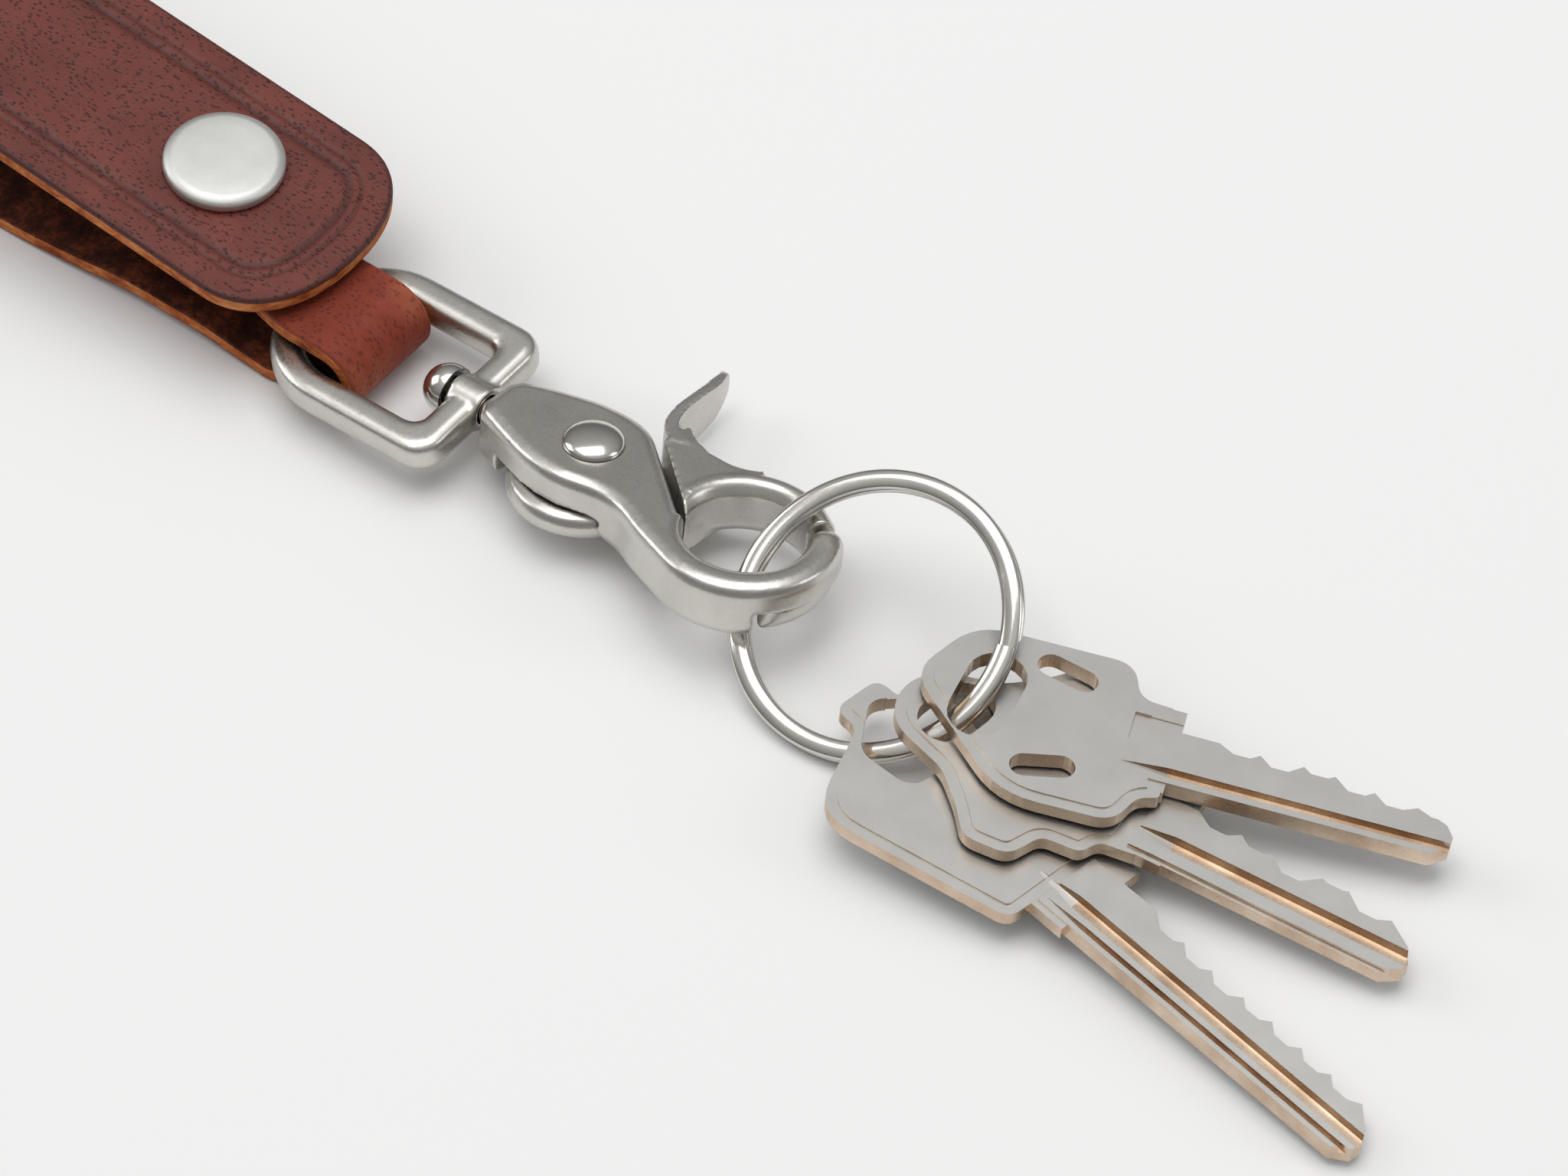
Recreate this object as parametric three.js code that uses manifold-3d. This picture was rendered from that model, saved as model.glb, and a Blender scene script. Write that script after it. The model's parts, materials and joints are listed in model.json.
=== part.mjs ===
// Key organiser: a folded leather belt loop closed by a snap fastener, a swivel eye with a
// trigger snap hook, a split ring and three keys. Millimetres, +Z up, +X from the strap to the keys.
import * as THREE from 'three';
import { mergeVertices } from 'three/addons/utils/BufferGeometryUtils.js';
import Module from 'manifold-3d';

const wasm = await Module();
wasm.setup();

const RAD = Math.PI / 180;
const CORNER = 0.42;             // sine of the bend from which an outline point counts as a corner
const MERGE = 0.02;              // points closer than this are one point

// ---- Driving dimensions -------------------------------------------------------------------

// Leather strap. The side path runs in XZ, the plan outlines in XY.
const LEATHER = 2.0;
const STRAP_Y = 3.05;            // centreline of the wide strap
const FLAP_HALF = 12.85;
const FLAP_TIP_X = -33.4;
const FLAP_END_LENGTH = 9.6;     // length of the rounded end
const FOLD_X = -110;             // centre of the belt-loop fold
const FOLD_R = 8.6;              // mid-thickness radius of that fold
const FOLD_Z = FOLD_R + LEATHER / 2 + 0.1;
const FLAP_SLOPE = 5.6;          // degrees, down towards the tip
const SPLIT_GAP = 0.1;           // between the two halves of the fold
const TAB_HALF = 6.1;
const TAB_Y = -0.4;
const TAB_NOSE_X = -29.8;        // centre of the small fold inside the eye
const TAB_NOSE_R = 3.4;
const TAB_END_X = -60;

// Snap fastener
const SNAP_X = -51;
const SNAP_Y = 3.6;
const STUD_X = -51.3;
const CAP_R = 6.35;
const SHANK_R = 1.5;

// Hardware frame: origin on the pivot, X along the swivel axis, nose a little up
const PIVOT = [0.4, -0.4, 6.15];
const NOSE_UP = 2.9;             // degrees
const HOOK_ROLL = 11;            // degrees, far side down

// Swivel eye
const EYE_BAR = 3.76;
const EYE_HALF = 8.37;           // centreline half width, and radius of the round end
const EYE_ROUND_X = -29.0;
const EYE_BAR_X = -15.3;
const BOSS_R = 2.45;             // swelling of the bar where the post goes through
const POST_R = 1.4;
const HEAD_R = 2.75;

// Hook
const JAW_X = 19.2;              // centre of the round jaw opening
const JAW_R = 6.25;
const BODY_OUT_R = 9.9;
const LEVER_OUT_R = 9.2;
const HALF_T = 3.2;              // half the jaw's thickness
const HUB_R = 7.7;
const HUB_C = [-0.9, -0.3];      // the hub disc stands a little off the pivot
const HUB_TOP = -0.9;
const HUB_BOTTOM = -3.9;
const PLATE_UNDER = 1.3;
const SKIRT_BOTTOM = -0.6;
const LAP = -0.15;               // mid-plane where the two fingers lap
const ROUND = 1.25;              // edge rounding of the castings
const RIVET_R = 1.6;

// Split ring
const RING_C = [35.2, 0.5];
const RING_R = 13.9;
const WIRE_R = 1.1;
const RING_TILT = 27.5;          // degrees, far side up

// Keys lie in parallel planes, ring end up on the wire, tips down
const KEY_T = 1.9;
const KEY_PITCH = 2.8;
const KEY_ROLL = 4.5;
const STACK = [48, -5];
const STACK_Z = 2.5;             // underside of the lowest key at the stack point
const KEY_STEP = 2.15;

// ---- Colours ------------------------------------------------------------------------------

const finish = {
  leather: { color: 0x6e3428, roughness: 0.55, metalness: 0 },
  satin: { color: 0xb9b7b1, roughness: 0.42, metalness: 1 },
  tumbled: { color: 0xc4c1bb, roughness: 0.34, metalness: 1 },
  polished: { color: 0xc9c6c0, roughness: 0.16, metalness: 1 },
  key: { color: 0xb5b0a6, roughness: 0.3, metalness: 1 },
  brass: { color: 0xb08d57, roughness: 0.35, metalness: 1 },
  wire: { color: 0x9a9a98, roughness: 0.3, metalness: 1 },
};

// ---- Solids -------------------------------------------------------------------------------

function vectors(pairs) {
  return pairs.map(([x, y]) => new THREE.Vector2(x, y));
}

function toSolid(geometry) {
  const bare = geometry.clone();
  bare.deleteAttribute('normal');
  bare.deleteAttribute('uv');
  const merged = mergeVertices(bare, 1e-4);
  const index = merged.index.array;
  const triangles = [];
  for (let i = 0; i < index.length; i += 3) {
    const [a, b, c] = [index[i], index[i + 1], index[i + 2]];
    if (a !== b && b !== c && a !== c) triangles.push(a, b, c);
  }
  return new wasm.Manifold(new wasm.Mesh({
    numProp: 3,
    vertProperties: new Float32Array(merged.attributes.position.array),
    triVerts: new Uint32Array(triangles),
  }));
}

function toGeometry(solid) {
  const mesh = solid.getMesh();
  const geometry = new THREE.BufferGeometry();
  geometry.setAttribute('position', new THREE.BufferAttribute(new Float32Array(mesh.vertProperties), 3));
  geometry.setIndex(new THREE.BufferAttribute(new Uint32Array(mesh.triVerts), 1));
  geometry.computeVertexNormals();
  return geometry;
}

function build(base, { join = [], cut = [], keep = [] }) {
  let solid = toSolid(base);
  for (const other of join) solid = solid.add(toSolid(other));
  for (const other of keep) solid = solid.intersect(toSolid(other));
  for (const other of cut) solid = solid.subtract(toSolid(other));
  return toGeometry(solid);
}

// An outline's points, none closer than the spacing to the one before except at a corner.
function thinned(path, spacing) {
  const all = path.getPoints(24);
  const points = all.filter((point, i) => point.distanceTo(all[(i + 1) % all.length]) > MERGE);
  const count = points.length;
  const isCorner = (i) => {
    const before = points[i].clone().sub(points[(i + count - 1) % count]);
    const after = points[(i + 1) % count].clone().sub(points[i]);
    return Math.abs(before.cross(after)) > CORNER * before.length() * after.length();
  };
  const kept = [];
  points.forEach((point, i) => {
    const last = kept[kept.length - 1];
    const corner = isCorner(i);
    const near = last && Math.min(last.point.distanceTo(point), kept[0].point.distanceTo(point)) < spacing;
    if (near && corner && kept.length > 1 && !last.corner) kept.pop();
    if (!near || corner) kept.push({ point, corner });
  });
  return kept.map(({ point }) => point);
}

// A flat plate between two heights, its edges optionally rounded.
function plate(shape, low, high, round = 0, spacing = 0.8) {
  const outline = new THREE.Shape(thinned(shape, spacing));
  outline.holes = shape.holes.map((hole) => new THREE.Path(thinned(hole, spacing)));
  const geometry = new THREE.ExtrudeGeometry(outline, {
    depth: high - low - 2 * round,
    bevelEnabled: round > 0,
    bevelThickness: round,
    bevelSize: round,
    bevelOffset: -round,
    bevelSegments: 2,
  });
  return geometry.translate(0, 0, low + round);
}

function block(x0, x1, y0, y1, z0, z1) {
  const geometry = new THREE.BoxGeometry(x1 - x0, y1 - y0, z1 - z0);
  return geometry.translate((x0 + x1) / 2, (y0 + y1) / 2, (z0 + z1) / 2);
}

function cylinderZ(radius, z0, z1, x = 0, y = 0, sides = 28) {
  const geometry = new THREE.CylinderGeometry(radius, radius, z1 - z0, sides);
  return geometry.rotateX(Math.PI / 2).translate(x, y, (z0 + z1) / 2);
}

function cylinderX(radius, x0, x1, sides = 24) {
  const geometry = new THREE.CylinderGeometry(radius, radius, x1 - x0, sides);
  return geometry.rotateZ(Math.PI / 2).translate((x0 + x1) / 2, 0, 0);
}

// A solid turned about Z from a profile of [radius, height] that starts and ends on the axis.
function turnedZ(profile, sides = 28) {
  return new THREE.LatheGeometry(vectors(profile), sides).rotateX(Math.PI / 2);
}

// A closed ring of round wire about Z.
function wireRing(radius, wire, around, section) {
  const points = [];
  for (let i = 0; i <= section; i += 1) {
    const angle = (i % section) * 2 * Math.PI / section;
    points.push(new THREE.Vector2(radius + wire * Math.cos(angle), wire * Math.sin(angle)));
  }
  return new THREE.LatheGeometry(points, around).rotateX(Math.PI / 2);
}

// A ring turned about Z whose section is the same above and below its middle.
function turnedRing(upper, sides = 64) {
  const lower = upper.map(([radius, height]) => [radius, -height]);
  const profile = [...lower, ...upper.slice().reverse(), lower[0]];
  return new THREE.LatheGeometry(vectors(profile), sides).rotateX(Math.PI / 2);
}

function polygon(points) {
  return new THREE.Shape(vectors(points));
}

// A closed outline with every corner rounded by its own radius: [x, y, radius].
function roundedPolygon(corners) {
  const shape = new THREE.Shape();
  const count = corners.length;
  const at = (i) => new THREE.Vector2(corners[(i + count) % count][0], corners[(i + count) % count][1]);
  for (let i = 0; i < count; i += 1) {
    const corner = at(i);
    const before = at(i - 1).sub(corner);
    const after = at(i + 1).sub(corner);
    const reach = Math.min(corners[i][2], before.length() * 0.48, after.length() * 0.48);
    const start = corner.clone().add(before.normalize().multiplyScalar(reach));
    const end = corner.clone().add(after.normalize().multiplyScalar(reach));
    if (i === 0) shape.moveTo(start.x, start.y);
    else shape.lineTo(start.x, start.y);
    shape.quadraticCurveTo(corner.x, corner.y, end.x, end.y);
  }
  shape.closePath();
  return shape;
}

function ringSector(cx, inner, outer, from, to) {
  const shape = new THREE.Shape();
  shape.absarc(cx, 0, outer, from * RAD, to * RAD, to < from);
  shape.absarc(cx, 0, inner, to * RAD, from * RAD, to > from);
  shape.closePath();
  return shape;
}

const model = new THREE.Group();

function part(name, geometry, look, parent = model) {
  const mesh = new THREE.Mesh(geometry, new THREE.MeshStandardMaterial(finish[look]));
  mesh.name = name;
  parent.add(mesh);
  return mesh;
}

// ---- Leather ------------------------------------------------------------------------------

// A band of leather: its mid-line in XZ given a thickness, as wide as any outline needs.
function band(path, divisions) {
  const mid = path.getPoints(divisions);
  const left = [];
  const right = [];
  mid.forEach((point, i) => {
    const ahead = mid[Math.min(i + 1, mid.length - 1)];
    const behind = mid[Math.max(i - 1, 0)];
    const normal = ahead.clone().sub(behind).normalize().rotateAround(new THREE.Vector2(), Math.PI / 2);
    left.push(point.clone().addScaledVector(normal, LEATHER / 2));
    right.unshift(point.clone().addScaledVector(normal, -LEATHER / 2));
  });
  const shape = new THREE.Shape([...left, ...right]);
  const width = 60;
  const geometry = new THREE.ExtrudeGeometry(shape, { depth: width, bevelEnabled: false });
  return geometry.rotateX(Math.PI / 2).translate(0, width / 2, 0);
}

function flapMidHeight(x) {
  const slope = FLAP_SLOPE * RAD;
  const tangentX = FOLD_X + FOLD_R * Math.sin(slope);
  return FOLD_Z + FOLD_R * Math.cos(slope) - (x - tangentX) * Math.tan(slope);
}

function strapLower() {
  const tabPath = new THREE.Path();
  tabPath.moveTo(TAB_END_X, 4.6);
  tabPath.lineTo(-46, 4.6);
  tabPath.splineThru(vectors([[-41, 6.3], [-36, 7.75], [TAB_NOSE_X, TAB_NOSE_R * 2 + 1.05]]));
  tabPath.absarc(TAB_NOSE_X, TAB_NOSE_R + 1.05, TAB_NOSE_R, 90 * RAD, -95 * RAD, true);
  const [tabNear, tabFar] = [TAB_Y - TAB_HALF, TAB_Y + TAB_HALF];
  const tabPlan = polygon([
    [-20, tabNear], [-20, tabFar], [-34, tabFar], [-48, SNAP_Y + TAB_HALF], [-62, SNAP_Y + TAB_HALF],
    [-62, SNAP_Y - TAB_HALF], [-48, SNAP_Y - TAB_HALF], [-34, tabNear],
  ]);
  const basePath = new THREE.Path();
  basePath.moveTo(TAB_NOSE_X + 0.2, 1.05);
  basePath.splineThru(vectors([
    [-37, 1.1], [-41, 1.5], [-45.5, 2.05], [-51, 2.1], [-57, 2.05], [-62, 1.6], [-72, 1.1],
  ]));
  basePath.lineTo(FOLD_X, FOLD_Z - FOLD_R);
  basePath.absarc(FOLD_X, FOLD_Z, FOLD_R, -90 * RAD, -180 * RAD, true);
  const far = STRAP_Y + FLAP_HALF;
  const near = STRAP_Y - FLAP_HALF;
  const basePlan = polygon([
    [-28, tabNear], [-28, tabFar], [-32, tabFar], [-34, 8], [-51, 10.5], [-72, 13], [-95, far],
    [-125, far], [-125, near], [-95, near], [-72, -8.4], [-51, -7.6], [-34, -7.6], [-32, tabNear],
  ]);
  const upTo = block(-130, -20, -40, 40, -5, FOLD_Z - SPLIT_GAP / 2);
  const tab = build(band(tabPath, 6), { keep: [plate(tabPlan, -5, 25)] });
  const base = build(band(basePath, 6), { keep: [plate(basePlan, -5, 25), upTo] });
  return build(base, { join: [tab], cut: [cylinderZ(1.35, -5, 9, STUD_X, SNAP_Y)] });
}

function strapFlap() {
  const slope = FLAP_SLOPE * RAD;
  const path = new THREE.Path();
  path.absarc(FOLD_X, FOLD_Z, FOLD_R, 181 * RAD, Math.PI / 2 - slope, true);
  path.lineTo(FLAP_TIP_X + 1, flapMidHeight(FLAP_TIP_X + 1));
  const plan = new THREE.Shape();
  const roundX = FLAP_TIP_X - FLAP_END_LENGTH;
  plan.moveTo(-125, STRAP_Y - FLAP_HALF);
  plan.lineTo(roundX, STRAP_Y - FLAP_HALF);
  plan.absellipse(roundX, STRAP_Y, FLAP_END_LENGTH, FLAP_HALF, -90 * RAD, 90 * RAD, false, 0);
  plan.lineTo(-125, STRAP_Y + FLAP_HALF);
  plan.closePath();
  return build(band(path, 10), {
    keep: [plate(plan, -5, 30), block(-130, -20, -40, 40, FOLD_Z + SPLIT_GAP / 2, 30)],
    cut: [cylinderZ(SHANK_R + 0.2, 0, 30, SNAP_X, SNAP_Y)],
  });
}

part('strap_lower', strapLower(), 'leather');
part('strap_flap', strapFlap(), 'leather');

// ---- Snap fastener ------------------------------------------------------------------------

// Cap, socket and spring stand square to the sloping flap, their origin on its mid-thickness.
const flapSnap = new THREE.Group();
flapSnap.position.set(SNAP_X, SNAP_Y, flapMidHeight(SNAP_X));
flapSnap.rotation.y = FLAP_SLOPE * RAD;
model.add(flapSnap);

part('snap_cap', turnedZ([
  [0, -2.3], [2.1, -2.3], [2.1, -2.05], [SHANK_R - 0.1, -2.05], [SHANK_R - 0.1, 1.05], [CAP_R - 0.3, 1.05],
  [CAP_R, 1.35], [CAP_R, 2.2], [CAP_R - 0.25, 2.6], [CAP_R - 0.75, 2.8], [0, 2.8],
], 40), 'satin', flapSnap);

part('snap_socket', build(turnedZ([
  [0, -4.5], [3.9, -4.5], [4.2, -4.2], [4.3, -2.2], [5.0, -1.9], [5.2, -1.5], [5.1, -1.1], [0, -1.1],
]), {
  cut: [
    cylinderZ(SHANK_R + 0.1, -2.2, -0.5), cylinderZ(2.75, -5, -2.0), cylinderZ(3.25, -3.95, -3.2),
  ],
}), 'brass', flapSnap);

part('snap_spring', wireRing(2.85, 0.26, 28, 6).translate(0, 0, -3.57), 'wire', flapSnap);

part('snap_stud', build(turnedZ([
  [0, 5.66], [4.4, 5.66], [4.6, 5.9], [4.4, 6.3], [1.9, 6.5], [1.7, 7.0], [1.7, 8.2], [2.05, 8.6],
  [2.05, 9.1], [1.6, 9.5], [0, 9.6],
]), { cut: [cylinderZ(1.25, 5, 8.3)] }).translate(STUD_X, SNAP_Y, 0), 'brass');

part('snap_post', turnedZ([
  [0, 0.16], [4.3, 0.16], [4.6, 0.5], [4.6, 0.9], [1.15, 0.94], [1.15, 7.9], [0, 8.0],
]).translate(STUD_X, SNAP_Y, 0), 'brass');

// ---- Swivel eye and post ------------------------------------------------------------------

const hardware = new THREE.Group();
hardware.position.set(...PIVOT);
hardware.rotation.y = -NOSE_UP * RAD;
model.add(hardware);

function eyeOutline(half, right, corner) {
  const path = new THREE.Shape();
  path.absarc(EYE_ROUND_X, 0, half, 90 * RAD, 270 * RAD, false);
  path.lineTo(right - corner, -half);
  path.absarc(right - corner, -half + corner, corner, -90 * RAD, 0, false);
  path.lineTo(right, half - corner);
  path.absarc(right - corner, half - corner, corner, 0, 90 * RAD, false);
  path.closePath();
  return path;
}

function swivelEye() {
  const bar = EYE_BAR / 2;
  const outline = eyeOutline(EYE_HALF + bar, EYE_BAR_X + bar, 3.2);
  outline.holes.push(eyeOutline(EYE_HALF - bar, EYE_BAR_X - bar, 1.4));
  const boss = cylinderX(BOSS_R, EYE_BAR_X - bar - 0.3, EYE_BAR_X + bar + 0.05);
  return build(plate(outline, -bar, bar, 1.15), {
    join: [boss],
    cut: [cylinderX(POST_R + 0.2, -25, -5)],
  });
}

part('swivel_eye', swivelEye(), 'tumbled', hardware);

// Turned about X: domed head inside the eye, shank through its boss, flange inside the hook body.
const headX = EYE_BAR_X - EYE_BAR / 2 - 0.6;
const dome = [0, 18, 36, 54, 72, 90, 104].map((turn) => [
  HEAD_R * Math.sin(turn * RAD), headX - 0.7 - HEAD_R * Math.cos(turn * RAD),
]);
part('swivel_post', turnedZ([
  ...dome, [POST_R, headX], [POST_R, -10.0], [2.3, -10.0], [2.3, -9.2], [0, -9.2],
]).rotateY(Math.PI / 2), 'polished', hardware);

// ---- Trigger snap hook --------------------------------------------------------------------

const hook = new THREE.Group();
hook.rotation.x = -HOOK_ROLL * RAD;
hardware.add(hook);

// Straight edge shared by plate and lever, from above the hub down to the jaw's left side.
const SEAM_TOP = [4.3, 4.9];
const SEAM_LOW = [12.75, -2.3];

function bodyOutline() {
  const shape = new THREE.Shape();
  shape.moveTo(-12.7, 2.0);
  shape.lineTo(-11.8, 3.4);
  shape.splineThru(vectors([[-9.4, 4.5], [-6.6, 5.4], [-3.5, 6.2], [0, 6.4], [2.6, 5.9], SEAM_TOP]));
  shape.lineTo(...SEAM_LOW);
  shape.absarc(JAW_X, 0, JAW_R, 200 * RAD, 391 * RAD, false);
  const tip = 31 * RAD;
  const tipMid = (JAW_R + BODY_OUT_R) / 2;
  const [tipX, tipY] = [JAW_X + tipMid * Math.cos(tip), tipMid * Math.sin(tip)];
  shape.absarc(tipX, tipY, (BODY_OUT_R - JAW_R) / 2, tip + Math.PI, tip, true);
  shape.absarc(JAW_X, 0, BODY_OUT_R, tip, -112 * RAD, true);
  shape.splineThru(vectors([
    [11.2, -7.6], [7.4, -6.0], [4.2, -5.8], [0, -6.6], [-4, -6.2], [-8, -4.9], [-11.8, -3.4],
  ]));
  shape.lineTo(-12.7, -2.0);
  shape.closePath();
  return shape;
}

function hookBody() {
  const underFinger = plate(ringSector(JAW_X, 3, 14, -46, 75), -5, LAP);
  const leverPlan = polygon([[0, -2.4], [12.4, -2.4], [15.5, -1], [15.5, 9], [0, 9]]);
  const leverRoom = plate(leverPlan, -5, SKIRT_BOTTOM);
  return build(plate(bodyOutline(), -HALF_T, HALF_T, ROUND), {
    cut: [
      underFinger,
      leverRoom,
      cylinderZ(HUB_R + 0.5, -5, SKIRT_BOTTOM, ...HUB_C, 40),
      block(-8.7, 2, -10, 10, -5, SKIRT_BOTTOM),
      cylinderZ(5.0, -1, PLATE_UNDER, 0, 0, 36),
      plate(polygon([[-3, 0], [14, 0], [14, 10], [-3, 10]]), -1, PLATE_UNDER),
      cylinderZ(RIVET_R + 0.12, -5, 5),
      cylinderX(POST_R + 0.15, -14, -8),
      cylinderX(2.55, -10.2, -8.9),
    ],
  });
}

// The section shared by the jaw's arc and lower finger: [radius, height] with rounded edges.
const JAW_SECTION = [
  [JAW_R, 1.9], [JAW_R + 0.6, 2.9], [JAW_R + 1.1, HALF_T],
  [LEVER_OUT_R - 1.1, HALF_T], [LEVER_OUT_R - 0.6, 2.9], [LEVER_OUT_R, 1.9],
];

// The space inside the jaw, flared above and below to follow the rounded inner edge.
function jawSpace() {
  const upper = [...JAW_SECTION.slice(0, 3), [JAW_R + 1.9, HALF_T + 0.8]];
  const lower = upper.map(([radius, height]) => [radius, -height]).reverse();
  return turnedZ([[0, -HALF_T - 0.8], ...lower, ...upper, [0, HALF_T + 0.8]], 64).translate(JAW_X, 0, 0);
}

// Web between the jaw's arc, the seam and the foot of the tongue.
function leverRoot() {
  const shape = new THREE.Shape();
  shape.moveTo(4.6, 5.45);
  shape.lineTo(13.1, -1.75);
  shape.lineTo(14.6, 2.6);
  shape.lineTo(15.4, 8.2);
  shape.splineThru(vectors([[13.4, 7.2], [11.4, 6.8], [9.4, 6.9], [7.2, 7.7], [5.4, 8.9]]));
  shape.closePath();
  return build(plate(shape, -HALF_T + 0.1, HALF_T - 0.1), { cut: [jawSpace()] });
}

function lowerFinger(softened) {
  const end = -30 * RAD;
  const middle = (JAW_R + LEVER_OUT_R) / 2;
  const shape = new THREE.Shape();
  shape.absarc(JAW_X, 0, LEVER_OUT_R, 60 * RAD, end, true);
  const [x, y] = [JAW_X + middle * Math.cos(end), middle * Math.sin(end)];
  shape.absarc(x, y, (LEVER_OUT_R - JAW_R) / 2, end, end - Math.PI, true);
  shape.absarc(JAW_X, 0, JAW_R, end, 60 * RAD, false);
  shape.closePath();
  return build(plate(shape, -HALF_T, LAP - 0.3), { keep: [softened] });
}

// Thumb tongue: a bent strip that narrows from below to a rounded tip.
function thumbTongue() {
  const shape = new THREE.Shape();
  shape.moveTo(7.4, 6.6);
  shape.splineThru(vectors([[4.6, 8.2], [3.6, 10.4], [3.4, 13.5], [3.3, 16.5], [2.6, 19.2]]));
  shape.lineTo(1.7, 18.9);
  shape.splineThru(vectors([[2.0, 16.2], [2.1, 13.5], [2.2, 10.4], [3.0, 7.6], [5.2, 5.6]]));
  shape.closePath();
  const side = roundedPolygon([[4, -HALF_T, 0.5], [9.5, -3.1, 3], [15.5, -1.9, 3], [19.4, 0.1, 2.2],
    [19.4, 2.6, 1.4], [14, 3.1, 3], [4, HALF_T, 0.5]]);
  const taper = plate(side, -2, 12).rotateX(Math.PI / 2).rotateZ(Math.PI / 2);
  return build(plate(shape, -HALF_T, HALF_T), { keep: [taper] });
}

// The moving half: hub disc, neck, jaw arc at full thickness, lower finger and thumb tongue.
function triggerLever() {
  const softened = turnedRing(JAW_SECTION).translate(JAW_X, 0, 0);
  const arc = build(softened, { keep: [plate(ringSector(JAW_X, 3, 14, 47, 176), -5, 5)] });
  const neck = polygon([[2, -1.9], [12.2, -1.9], [13.0, -1.4], [13.4, 5], [6, 6], [2, 5]]);
  const hub = plate(new THREE.Shape().absarc(...HUB_C, HUB_R, 0, 2 * Math.PI), HUB_BOTTOM, HUB_TOP, 1.2);
  return build(arc, {
    join: [leverRoot(), hub, plate(neck, -HALF_T, HUB_TOP), lowerFinger(softened), thumbTongue()],
    cut: [cylinderZ(RIVET_R + 0.12, -5, 5)],
  });
}

part('hook_body', hookBody(), 'tumbled', hook);
part('trigger_lever', triggerLever(), 'tumbled', hook);

part('pivot_rivet', turnedZ([
  [0, HUB_BOTTOM - 0.75], [1.9, HUB_BOTTOM - 0.6], [2.5, HUB_BOTTOM - 0.1], [RIVET_R, HUB_BOTTOM - 0.1],
  [RIVET_R, HALF_T + 0.08], [3.2, HALF_T + 0.08], [3.05, HALF_T + 0.5], [2.2, HALF_T + 1.0],
  [1.2, HALF_T + 1.22], [0, HALF_T + 1.28],
]), 'polished', hook);

// Torsion spring round the rivet, one leg towards the skirt and one towards the lever's root.
class SpringPath extends THREE.Curve {
  getPoint(t, target = new THREE.Vector3()) {
    const turns = 2.4;
    const leg = 0.12;
    const radius = 2.35;
    const coil = Math.min(Math.max((t - leg) / (1 - 2 * leg), 0), 1);
    const angle = (coil * turns * 2 * Math.PI) - 1.9;
    const height = 0.95 - coil * 1.2;
    target.set(radius * Math.cos(angle), radius * Math.sin(angle), height);
    const beyond = t < leg ? (leg - t) / leg : Math.max((t - 1 + leg) / leg, 0);
    const way = t < leg ? -1 : 1;
    const reach = beyond * 3.0 * way;
    target.x -= Math.sin(angle) * reach;
    target.y += Math.cos(angle) * reach;
    return target;
  }
}

const springSection = new THREE.Shape().absarc(0, 0, 0.24, 0, 2 * Math.PI);
part('trigger_spring', new THREE.ExtrudeGeometry(springSection, {
  steps: 64, extrudePath: new SpringPath(), bevelEnabled: false, curveSegments: 3,
}), 'wire', hook);

// ---- Split ring ---------------------------------------------------------------------------

const ring = part('split_ring', wireRing(RING_R, WIRE_R, 56, 10), 'polished');
ring.rotation.x = RING_TILT * RAD;
ring.position.set(...RING_C, WIRE_R + 0.05 + RING_R * Math.sin(RING_TILT * RAD));

// ---- Keys ---------------------------------------------------------------------------------

const stack = new THREE.Group();
stack.position.set(...STACK, STACK_Z);
stack.rotation.set(-KEY_ROLL * RAD, KEY_PITCH * RAD, 0);
model.add(stack);

// Blade outline from the shoulder (x = 0) to the tip. The far edge is cut at even steps to the
// given depths, with a sloping peak between two cuts.
function bladePoints({ length, near, far, first, pitch, depths }) {
  const points = [[-3, near], [length - 1.8, near], [length - 0.1, near + 1.3], [length, near + 2.6],
    [length - 0.8, near + 3.9], [first + 2.2, far - depths[0] + 0.7]];
  depths.forEach((depth, i) => {
    const x = first - i * pitch;
    points.push([x + pitch * 0.22, far - depth], [x - pitch * 0.22, far - depth]);
    const next = depths[i + 1] ?? 0;
    points.push([x - pitch / 2 + (next - depth) / 2, far - Math.max((depth + next) / 2 - 0.9, 0)]);
  });
  points.push([-3, far]);
  return points;
}

// A key in its own plane: +X to the tip, origin on the blade's axis at the shoulder.
function keySolid({ bow, stop, blade, grooves, step, windows }) {
  const half = KEY_T / 2;
  const cuts = windows.map((shape) => plate(shape, -5, 5));
  grooves.forEach(([y, width, depth, from]) => {
    cuts.push(block(from, blade.length + 3, y - width / 2, y + width / 2, half - depth, half + 2));
  });
  if (step) cuts.push(block(step.from, blade.length + 3, step.y, step.top, half - step.depth, half + 2));
  return build(plate(roundedPolygon(bow), -half, half), {
    join: [
      block(-6, stop[0], -stop[1], stop[1], -half, half),
      plate(polygon(bladePoints(blade)), -half, half),
    ],
    cut: cuts,
  });
}

// Both sides of an outline that is the same above and below the key's axis.
function mirrored(points) {
  return [...points, ...points.map(([x, y, r]) => [x, -y, r]).reverse()];
}

function slot(x, y, length, width, turn) {
  const along = new THREE.Vector2((length - width) / 2, 0).rotateAround(new THREE.Vector2(), turn * RAD);
  const shape = new THREE.Shape();
  shape.absarc(x + along.x, y + along.y, width / 2, (turn - 90) * RAD, (turn + 90) * RAD, false);
  shape.absarc(x - along.x, y - along.y, width / 2, (turn + 90) * RAD, (turn + 270) * RAD, false);
  shape.closePath();
  return shape;
}

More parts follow.
